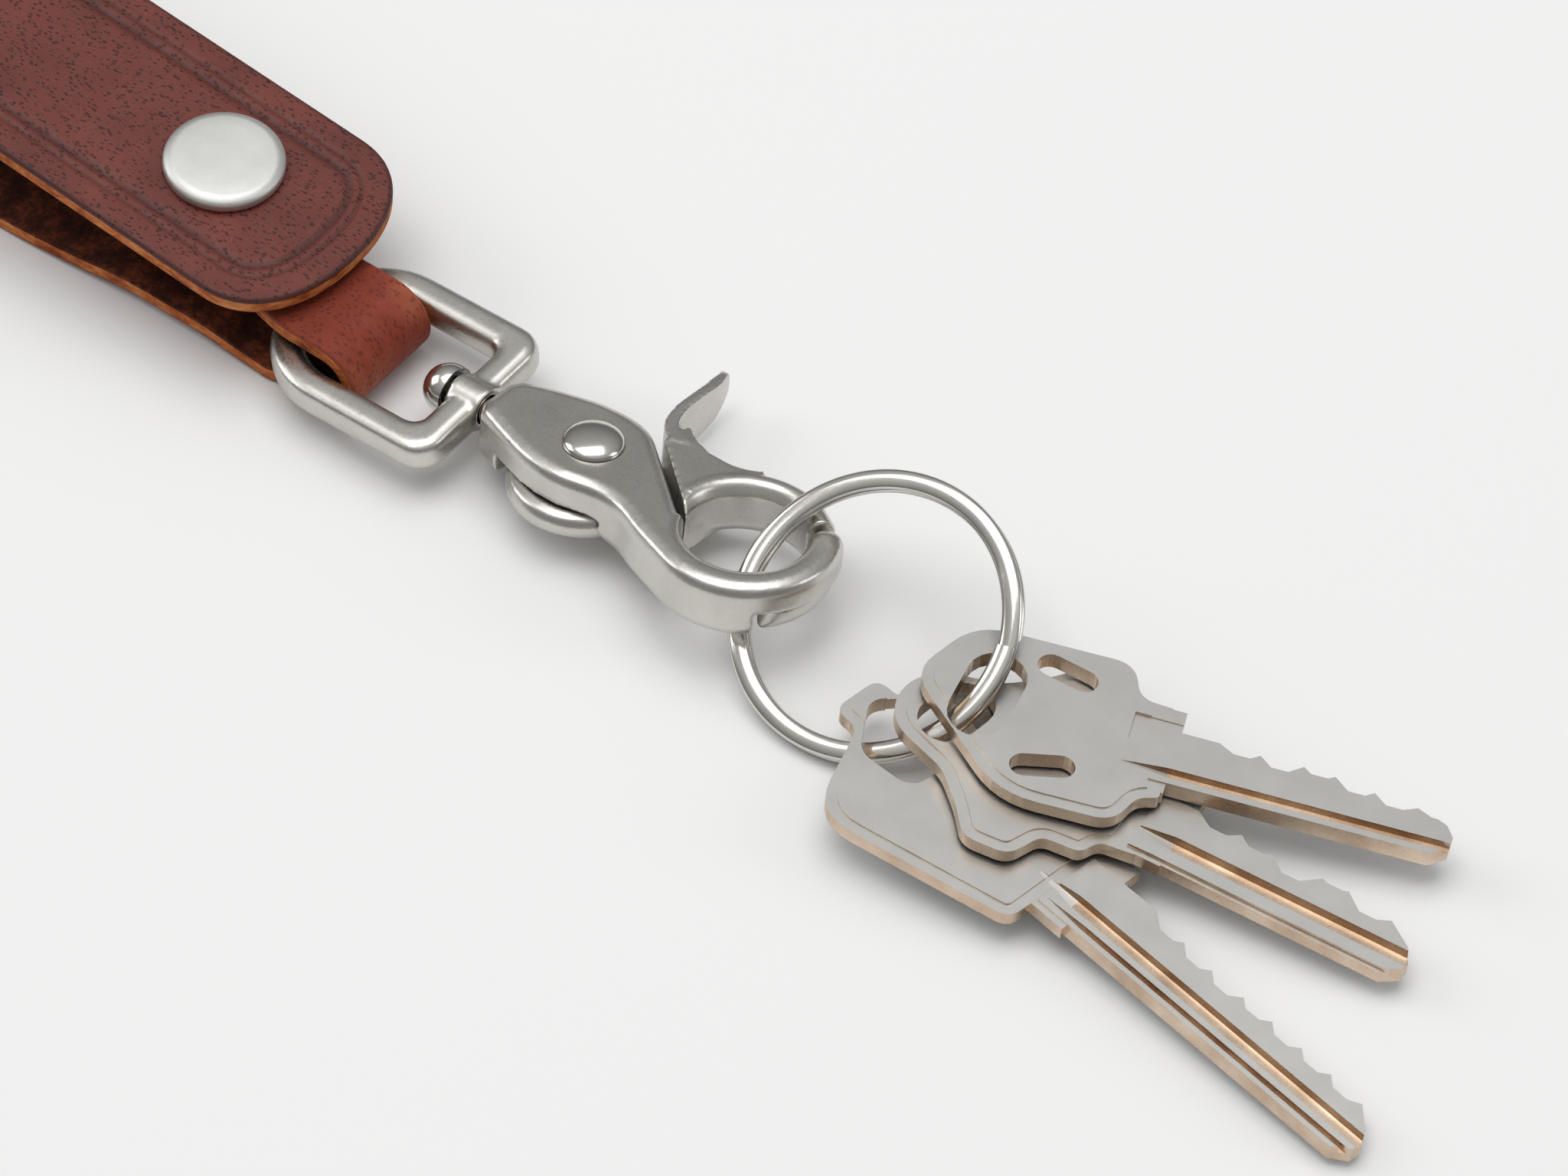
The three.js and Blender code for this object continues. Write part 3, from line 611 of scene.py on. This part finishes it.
class BuildStrap(bpy.types.Operator):
    """Builds the folded leather strap: flap, belt-loop fold, lower layer and the tab through the eye"""

    bl_idname = "organiser.strap"
    bl_label = "Leather strap"

    def execute(self, context):
        settings = context.scene.organiser_strap
        radius = settings.fold_radius
        axis = mounts["cap_top"]["axis"]
        slope = math.atan2(axis[0], axis[2])
        fold_z = radius + settings.thickness / 2 + 0.1
        self.flap(settings, radius, slope, fold_z)
        self.lower(settings)
        return {"FINISHED"}

    def flap(self, settings, radius, slope, fold_z):
        """Flap and fold are one skin."""
        join_x = FOLD_X + radius * math.sin(slope)
        join_z = fold_z + radius * math.cos(slope)
        tip_z = join_z - (TIP_X - join_x) * math.tan(slope)
        path = [(TIP_X - 0.02, tip_z), (join_x, join_z)]
        path += arc(FOLD_X, fold_z, radius, 90 - math.degrees(slope), 270, 60)[1:]
        near = STRAP_Y - settings.flap_half
        far = STRAP_Y + settings.flap_half
        rows = []

        def spacing(run):
            """Closer rows at the rounded end, so that its edge stays smooth."""
            if run < 9.5:
                return 0.06 + 0.02 * run
            return 0.5 if run < 14 else 1.0

        for point, tangent, along in stations(path, spacing):
            normal = Vector((-tangent.y, tangent.x)) * -1
            half = settings.flap_half
            if along < TIP_LENGTH:
                reach = 1 - (1 - along / TIP_LENGTH) ** TIP_POWER
                half = settings.flap_half * max(reach, 0.0) ** (1 / TIP_POWER)
                half = max(half, 0.35)

            def end_distance(y, along=along):
                """About how far a point lies from the rounded end."""
                if along >= TIP_LENGTH:
                    return NO_END_NEAR
                dx = 1 - along / TIP_LENGTH
                dy = (y - STRAP_Y) / settings.flap_half
                rho = max((abs(dx) ** TIP_POWER + abs(dy) ** TIP_POWER) ** (1 / TIP_POWER), 1e-6)
                local = math.hypot(dx * TIP_LENGTH, dy * settings.flap_half) / rho
                power = TIP_POWER - 1
                slant = math.hypot(abs(dx) ** power / TIP_LENGTH, abs(dy) ** power / settings.flap_half)
                return min((1 - rho) * local, (1 - rho) * rho ** power / max(slant, 1e-6))

            edge_near = STRAP_Y - half
            edge_far = STRAP_Y + half
            if along >= TIP_LENGTH:
                edge_near, edge_far = near, far
            rows.append((point, normal, edge_near, edge_far, end_distance, along))
        obj = leather_skin("flap_leather", settings, rows, 0.55, True, 0)
        # The flap's underside uses the flesh side, whose dark brown is partly painted shade.
        finishes = ["bridle leather grain", "cut leather edge", "leather flesh side"]
        dress(obj, finishes, None, "leather", "strap_flap")
        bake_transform(obj)

    def lower(self, settings):
        """Lower layer, nose through the eye and the short return layer under the snap."""
        nose_x, nose_z, nose_r = TAB_NOSE
        path = [(FOLD_X, 1.1)] + curve_through(BASE_RISE[::-1])
        path += [(nose_x - 1.5, nose_z - nose_r)]
        path += arc(nose_x, nose_z, nose_r, -90, 90, 26)
        path += curve_through([(nose_x - 0.5, nose_z + nose_r)] + TAB_RISE)
        path += [(-60, 4.6)]
        rows = []
        turned = False
        for point, tangent, along in stations(path, lambda s: 0.7):
            normal = Vector((-tangent.y, tangent.x)) * -1
            turned = turned or point.x > nose_x
            if turned:
                drift = between([(-48, 1, SNAP_PLAN[1]), (-34, 1, -0.4)], point.x, 2)
                near, far = drift - settings.tab_half, drift + settings.tab_half
            else:
                near, far = between(PLAN, point.x, 1), between(PLAN, point.x, 2)
            rows.append((point, normal, near, far, lambda y: NO_END_NEAR, along))
        obj = leather_skin("lower_leather", settings, rows, 0.45, False, 200)
        # The lower layer's flesh side faces up under the flap; its dark brown is partly the painted shade of
        # that gap.
        finishes = ["bent tab leather", "cut leather edge", "leather flesh side"]
        dress(obj, finishes, "strap", "leather", "strap_lower")


# ---- Snap fastener --------------------------------------------------------------------------


class SnapSettings(bpy.types.PropertyGroup):
    cap_radius: bpy.props.FloatProperty(
        name="Cap radius", description="Radius of the snap cap in mm", default=6.35)
    cap_edge: bpy.props.FloatProperty(
        name="Cap edge", description="Rounding of the cap's rim in mm", default=0.55)


class BuildSnap(bpy.types.Operator):
    """Builds the snap fastener: cap, socket with its spring, stud and post"""

    bl_idname = "organiser.snap"
    bl_label = "Snap fastener"

    def execute(self, context):
        settings = context.scene.organiser_snap
        radius, edge = settings.cap_radius, settings.cap_edge
        axis = Vector(mounts["cap_top"]["axis"]).normalized()
        tilt = Vector((0, 0, 1)).rotation_difference(axis).to_matrix().to_4x4()
        cap_height = 2.8
        matrix = Matrix.Translation(Vector(mounts["cap_top"]["pos_m"]) - axis * cap_height * MM) @ tilt
        profile = [(0, -2.3), (2.1, -2.3), (2.1, -2.0), (1.4, -2.0), (1.4, 1.05), (radius - 0.5, 1.05)]
        profile += rounded([
            (radius - 0.5, 1.05, 0), (radius - 0.12, 1.12, 0.2), (radius, 1.5, 0.2), (radius, 2.25, edge),
            (radius - 0.75, 2.72, 0.5), (radius - 2.6, 2.8, 0),
        ], 5, closed=False)[1:]
        profile += [(0, cap_height)]
        cap = lathe("snap_cap_skin", profile, matrix, 96)
        cap.data.set_sharp_from_angle(angle=math.radians(50))
        dress(cap, ["satin nickel"], "flap", "satin_cap", "snap_cap")
        for node, finish, slot_name in (
            ("snap_socket", "plated snap brass", "snap_brass"),
            ("snap_stud", "plated snap brass", "snap_brass"),
            ("snap_post", "plated snap brass", "snap_brass"),
            ("snap_spring", "drawn spring wire", "spring_wire"),
        ):
            solid = frame["nodes"][node]
            solid.data.materials.clear()
            solid.data.materials.append(materials()[finish])
            soften(solid, 0.12)
        return {"FINISHED"}


# ---- Swivel eye, post and trigger hook --------------------------------------------------------


class HookSettings(bpy.types.PropertyGroup):
    skin: bpy.props.FloatProperty(
        name="Skin step", description="Size of the casting's skin cells in mm", default=0.19)
    tumble: bpy.props.IntProperty(
        name="Tumbling", description="How far the castings' edges are worn round", default=14)
    head_radius: bpy.props.FloatProperty(
        name="Post head", description="Radius of the swivel post's domed head in mm", default=2.75)


class BuildHook(bpy.types.Operator):
    """Builds the swivel eye, its post, the hook body, the trigger lever and the rivet"""

    bl_idname = "organiser.hook"
    bl_label = "Swivel and trigger hook"

    def execute(self, context):
        settings = context.scene.organiser_hook
        for name, node, body, passes in (
            ("eye_casting", "swivel_eye", "eye", settings.tumble + 4),
            ("hook_casting", "hook_body", "hook", settings.tumble),
            ("lever_casting", "trigger_lever", "lever", settings.tumble - 2),
        ):
            casting = cast_from(name, node, settings.skin, passes)
            dress(casting, ["tumbled stainless"], body, "tumbled_steel")
        hook = place("trigger_pull", joints["hook_swivel"]["axis"])
        half, top, under = 3.2, 4.48, -3.9
        base = half + 0.12
        dome = [(0, under - 0.75), (1.9, under - 0.6), (2.5, under - 0.1), (1.6, under - 0.1)]
        dome += [(1.6, half + 0.08), (3.2, half + 0.08)]
        for degrees in range(6, 90, 7):
            angle = math.radians(degrees)
            dome.append((3.2 * math.cos(angle), base + (top - base) * math.sin(angle)))
        dome += [(0, top)]
        rivet = lathe("rivet_skin", dome, hook, 64)
        rivet.data.set_sharp_from_angle(angle=math.radians(50))
        dress(rivet, ["polished steel"], "hook", "polished_steel", "pivot_rivet")
        head, head_x = settings.head_radius, -17.78
        profile = [(head * math.sin(math.radians(a)), head_x - 0.7 - head * math.cos(math.radians(a)))
                   for a in range(0, 105, 8)]
        profile += [(1.4, head_x), (1.4, -10.0), (2.3, -10.0), (2.3, -9.2), (0, -9.2)]
        post = lathe("swivel_post_skin", profile, place("hook_swivel", (0, 0, 1)), 64)
        post.data.set_sharp_from_angle(angle=math.radians(50))
        dress(post, ["polished steel"], "hook", "polished_steel", "swivel_post")
        spring = frame["nodes"]["trigger_spring"]
        spring.data.materials.clear()
        spring.data.materials.append(materials()["drawn spring wire"])
        return {"FINISHED"}


# ---- Split ring -----------------------------------------------------------------------------


class RingSettings(bpy.types.PropertyGroup):
    radius: bpy.props.FloatProperty(
        name="Radius", description="Radius to the wire's middle in mm", default=13.9)
    wire: bpy.props.FloatProperty(
        name="Wire", description="Half width of one turn of wire in mm", default=1.05)
    lead: bpy.props.FloatProperty(
        name="Ends at", description="Where the wire's outer end lies, degrees from the hook", default=200.0)


class BuildRing(bpy.types.Operator):
    """Builds the split ring from two turns of flattened wire"""

    bl_idname = "organiser.ring"
    bl_label = "Split ring"

    def execute(self, context):
        settings = context.scene.organiser_ring
        steps = 360
        layer = 0.53
        loops = []
        for i in range(steps + 1):
            turn = 716.0 * i / steps
            angle = math.radians(settings.lead + turn)
            over = min(max((turn - 330.0) / 56.0, 0.0), 1.0)
            height = -layer + 2 * layer * over * over * (3 - 2 * over)
            loop = []
            for k in range(14):
                around = 2 * math.pi * k / 14
                out = settings.radius + settings.wire * math.cos(around)
                loop.append((out * math.cos(angle), out * math.sin(angle), height + 0.5 * math.sin(around)))
            loops.append(loop)
        vertices, faces = tube(loops)
        ring = make_object("split_ring_wire", vertices, faces, place("ring_turn", (-1, 0, 0)))
        settle_normals(ring)
        ring.data.set_sharp_from_angle(angle=math.radians(60))
        dress(ring, ["polished steel"], "ring", "polished_steel", "split_ring")
        return {"FINISHED"}


# ---- Keys -----------------------------------------------------------------------------------


class KeySettings(bpy.types.PropertyGroup):
    thickness: bpy.props.FloatProperty(name="Thickness", description="Key thickness in mm", default=1.9)
    panel: bpy.props.FloatProperty(name="Panel", description="Height of the raised panel in mm", default=0.2)
    rim: bpy.props.FloatProperty(
        name="Rim", description="Width of the rim round the panel in mm", default=1.15)


def blade_outline(length, near, far, first, pitch, depths):
    """Blade from behind the shoulder to the tip. The far edge is cut at even steps to the given
    depths, with a sloping peak between two cuts."""
    points = [(-3, near), (length - 1.8, near), (length - 0.1, near + 1.3), (length, near + 2.6),
              (length - 0.8, near + 3.9), (first + 2.2, far - depths[0] + 0.7)]
    for i, depth in enumerate(depths):
        x = first - i * pitch
        after = depths[i + 1] if i + 1 < len(depths) else 0
        points += [(x + pitch * 0.22, far - depth), (x - pitch * 0.22, far - depth)]
        points += [(x - pitch / 2 + (after - depth) / 2, far - max((depth + after) / 2 - 0.9, 0))]
    points += [(-3, far)]
    return points


def slot_outline(x, y, length, width, turn):
    """A slot with round ends, turned about its middle."""
    reach = (length - width) / 2
    points = arc(reach, 0, width / 2, -90, 90, 10) + arc(-reach, 0, width / 2, 90, 270, 10)
    c, s = math.cos(math.radians(turn)), math.sin(math.radians(turn))
    return [(x + px * c - py * s, y + px * s + py * c) for px, py in points]


def milled_groove(start, end, middle, width, depth, top, side):
    """A cutter for a milled groove that runs out in a long point towards the bow."""
    loops = []
    for x, sunk in ((start, -0.05), (start + 5.0, depth), (end, depth)):
        spread = width / 2 * (0.15 if sunk < 0 else 1.0)
        low = (top - sunk) * side
        high = (top + 0.6) * side
        loops.append([(x, middle - spread, high), (x, middle - spread * 0.62, low),
                      (x, middle + spread * 0.62, low), (x, middle + spread, high)])
    return tube(loops)


# Each key's own plane has X to the tip and the shoulder at the origin. A groove is
# (middle y, width, depth, start x) and a stop is (end x, half width).
KEYS = [
    {
        "node": "key_large", "body": "large_key", "joint": "key_large_fan", "turn": -8.5,
        "bow": mirrored([
            (-3.2, 8.3, 1.6), (-24.6, 13.5, 4.5), (-29.3, 2.9, 1.4), (-32.5, 3.0, 2.8),
        ]),
        "stop": (0.9, 5.4),
        "blade": (36.6, -4.7, 3.0, 31.4, 3.9, (2.5, 2.3, 2.2, 2.0, 2.2, 1.9, 1.4)),
        "grooves": [(-3.9, 0.7, 0.8, -3.0), (-2.1, 2.0, 0.7, -5.6)],
        "windows": [rounded([
            (-31.1, 0.4, 1.6), (-27.0, -5.0, 1.6), (-20.4, -4.4, 2), (-20.0, 5.4, 2.5), (-26.4, 7.0, 3),
        ], 6)],
    },
    {
        "node": "key_middle", "body": "middle_key", "joint": "key_middle_fan", "turn": 7.8,
        "bow": mirrored([
            (-1.4, 5.4, 0.8), (-5.4, 6.0, 0.8), (-6.4, 8.1, 0.8), (-10.4, 8.5, 1), (-12.0, 12.2, 1.4),
            (-16.8, 12.6, 1.4), (-19.2, 9.5, 1.2), (-22.4, 6.4, 1.2), (-28.6, 4.2, 2), (-30.4, 1.6, 2.2),
        ]),
        "stop": (0.8, 5.4),
        "blade": (25.9, -5.0, 2.6, 20.2, 4.15, (2.4, 1.0, 2.3, 1.2, 1.2)),
        "grooves": [(-2.4, 2.2, 0.8, -4.4), (-4.85, 0.5, 0.5, -5.6)],
        "windows": [slot_outline(-24.6, 0.5, 8.6, 5.8, 76)],
    },
    {
        "node": "key_top", "body": "top_key", "joint": "key_top_fan", "turn": 22.1,
        "bow": [
            (-0.6, 5.4, 0.5), (-4.2, 5.6, 1.6), (-5.6, 9.7, 2.6), (-21.6, 9.5, 3.4), (-26.0, 1.6, 3),
            (-14.6, -10.5, 4), (-3.2, -10.3, 3), (-1.6, -6.6, 1), (0.4, -6.0, 0.5),
        ],
        "stop": (0.6, 5.3),
        "blade": (28.3, -4.1, 2.8, 22.2, 3.85, (2.2, 1.7, 0.8, 1.3, 0.9)),
        "grooves": [(-2.8, 1.4, 0.7, -4.6)],
        "step": (-4.2, 0.3, 3.7, 0.35),
        "windows": [
            slot_outline(-18.4, 1.0, 11.0, 6.0, 82), slot_outline(-11.6, 6.2, 6.4, 2.8, -15),
            slot_outline(-11.2, -6.0, 6.4, 2.8, 15),
        ],
    },
]


def rectangle(x0, x1, y0, y1):
    return [(x0, y0), (x1, y0), (x1, y1), (x0, y1)]


def flat_key(spec, settings):
    """One key in its own plane: X to the tip, shoulder at the origin."""
    half = settings.thickness / 2
    core = half - settings.panel
    # The panel and the stop stay a hair under their neighbours, so that no two faces share a plane.
    hair = 0.01
    panel_top = half - 0.012
    outline = rounded(spec["bow"], 6)
    key = piece(spec["node"] + "_metal", *slab(outline, -core, core))
    settle_normals(key)
    end, stop_half = spec["stop"]
    joins = [
        piece("panel", *slab(offset(outline, settings.rim), -panel_top, panel_top)),
        piece("stop", *slab(rectangle(-6, end, -stop_half, stop_half), hair - core, core - hair)),
        piece("blade", *slab(blade_outline(*spec["blade"]), -half, half)),
    ]
    combine(key, joins, "UNION")
    length = spec["blade"][0]
    cutters = [piece("window", *slab(window, -half - 1, half + 1)) for window in spec["windows"]]
    for middle, width, depth, start in spec["grooves"]:
        for side in (1, -1):
            cut = milled_groove(start, length + 2, middle * side, width, depth, half, side)
            cutters.append(piece("groove", *cut))
    if "step" in spec:
        start, low, high, depth = spec["step"]
        cutters.append(piece("step", *slab(rectangle(start, length + 2, low, high), half - depth, half + 1)))
    combine(key, cutters, "DIFFERENCE")
    settle_normals(key)
    face_level = half - settings.panel - 0.3
    for face in key.data.polygons:
        on_face = abs(face.center.z) / MM > face_level and abs(face.normal.z) > 0.95
        face.material_index = 0 if on_face else 1
    return key


class BuildKeys(bpy.types.Operator):
    """Builds the keys with their panels, ring slots, milled grooves and cuts"""

    bl_idname = "organiser.keys"
    bl_label = "Keys"

    def execute(self, context):
        settings = context.scene.organiser_keys
        for spec in KEYS:
            key = flat_key(spec, settings)
            turned = place(spec["joint"]) @ Matrix.Rotation(math.radians(spec["turn"]), 4, "Z")
            key.data.transform(turned)
            points = [vertex.co for vertex in key.data.vertices]
            middle = Vector([(min(p[i] for p in points) + max(p[i] for p in points)) / 2 for i in range(3)])
            low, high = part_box(spec["node"])
            key.data.transform(Matrix.Translation((low + high) / 2 - middle))
            soften(key, 0.13, 2, 30)
            dress(key, ["nickel-plated brass", "milled key brass"], spec["body"], "key_metal", spec["node"])
        return {"FINISHED"}


# ---- Stage ----------------------------------------------------------------------------------


class StageSettings(bpy.types.PropertyGroup):
    azimuth: bpy.props.FloatProperty(
        name="Azimuth", description="Camera azimuth in degrees from -Y", default=37.5)
    elevation: bpy.props.FloatProperty(
        name="Elevation", description="Camera elevation in degrees", default=50.4)
    distance: bpy.props.FloatProperty(
        name="Distance", description="Camera to target", default=0.6107, unit="LENGTH", subtype="DISTANCE")
    lens: bpy.props.FloatProperty(name="Lens", description="Focal length in mm", default=140.6)


CAMERA_TARGET = (22.1, 2.9, 0.0)


def area_light(name, place_from, target, size, watts, tint=(1, 1, 1)):
    data = bpy.data.lights.new(name, "AREA")
    data.shape = "RECTANGLE"
    data.size, data.size_y = size
    data.energy = watts
    data.color = tint
    light = bpy.data.objects.new(name, data)
    bpy.context.scene.collection.objects.link(light)
    light.location = place_from
    light.rotation_euler = (Vector(target) - Vector(place_from)).to_track_quat("-Z", "Y").to_euler()
    return light


class BuildStage(bpy.types.Operator):
    """Builds the pale floor, the soft studio light and the camera"""

    bl_idname = "organiser.stage"
    bl_label = "Stage"

    def execute(self, context):
        settings = context.scene.organiser_stage
        target = DRAWING @ (Vector(CAMERA_TARGET) * MM)
        half = 3.0
        floor = make_object("floor", [(-half / MM, -half / MM, 0), (half / MM, -half / MM, 0),
                                      (half / MM, half / MM, 0), (-half / MM, half / MM, 0)], [(0, 1, 2, 3)])
        floor.location.z = -0.0001
        material, tree, shader, _ = new_material("seamless paper")
        shader.inputs["Base Color"].default_value = linear("#F3F3F3")
        shader.inputs["Roughness"].default_value = 0.9
        shader.inputs["Specular IOR Level"].default_value = 0.1
        floor.data.materials.append(material)
        area_light("top_light", target + Vector((-0.15, 0.1, 1.5)), target, (1.5, 1.1), 11)
        area_light("left_light", target + Vector((-1.5, -0.5, 0.9)), target, (0.9, 0.9), 6)
        area_light("right_light", target + Vector((1.5, 0.9, 0.8)), target, (0.7, 0.9), 4)
        world = bpy.data.worlds.new("soft studio")
        world.use_nodes = True
        tree = world.node_tree
        height = put(tree, "SeparateXYZ", {"Vector": put(tree, "TexCoord").outputs["Generated"]}).outputs["Z"]
        sky = ramp(tree, height, [(0.0, "#6B6A69"), (0.25, "#7E7E7D"), (0.7, "#B2B2B1"), (0.95, "#DADAD9")])
        tree.links.new(sky, tree.nodes["Background"].inputs["Color"])
        tree.nodes["Background"].inputs["Strength"].default_value = 1.0
        context.scene.world = world
        context.scene.view_settings.view_transform = "Standard"
        azimuth = math.radians(settings.azimuth)
        elevation = math.radians(settings.elevation)
        away = Vector((math.cos(elevation) * math.sin(azimuth), -math.cos(elevation) * math.cos(azimuth),
                       math.sin(elevation)))
        data = bpy.data.cameras.new("camera")
        data.sensor_width = 36.0
        data.lens = settings.lens
        camera = bpy.data.objects.new("camera", data)
        context.scene.collection.objects.link(camera)
        camera.location = target + away * settings.distance
        camera.rotation_euler = (-away).to_track_quat("-Z", "Y").to_euler()
        context.scene.camera = camera
        return {"FINISHED"}


class OrganiserPanel(bpy.types.Panel):
    """Sidebar panel with one button for each piece"""

    bl_idname = "VIEW3D_PT_organiser"
    bl_label = "Key organiser"
    bl_space_type = "VIEW_3D"
    bl_region_type = "UI"
    bl_category = "Key organiser"

    def draw(self, context):
        for operator, settings in PIECES:
            self.layout.operator(operator.bl_idname)
            for name in settings.__annotations__:
                self.layout.prop(getattr(context.scene, SETTINGS[settings]), name)


PIECES = [
    (BuildStrap, StrapSettings), (BuildSnap, SnapSettings), (BuildHook, HookSettings),
    (BuildRing, RingSettings), (BuildKeys, KeySettings), (BuildStage, StageSettings),
]
SETTINGS = {
    StrapSettings: "organiser_strap", SnapSettings: "organiser_snap", HookSettings: "organiser_hook",
    RingSettings: "organiser_ring", KeySettings: "organiser_keys", StageSettings: "organiser_stage",
}


def register():
    for operator, settings in PIECES:
        bpy.utils.register_class(settings)
        bpy.utils.register_class(operator)
        setattr(bpy.types.Scene, SETTINGS[settings], bpy.props.PointerProperty(type=settings))
    bpy.utils.register_class(OrganiserPanel)


def unregister():
    bpy.utils.unregister_class(OrganiserPanel)
    for operator, settings in reversed(PIECES):
        delattr(bpy.types.Scene, SETTINGS[settings])
        bpy.utils.unregister_class(operator)
        bpy.utils.unregister_class(settings)


def main():
    register()
    bpy.ops.organiser.strap()
    bpy.ops.organiser.snap()
    bpy.ops.organiser.hook()
    bpy.ops.organiser.ring()
    bpy.ops.organiser.keys()
    bpy.ops.organiser.stage()


if __name__ == "__main__":
    main()
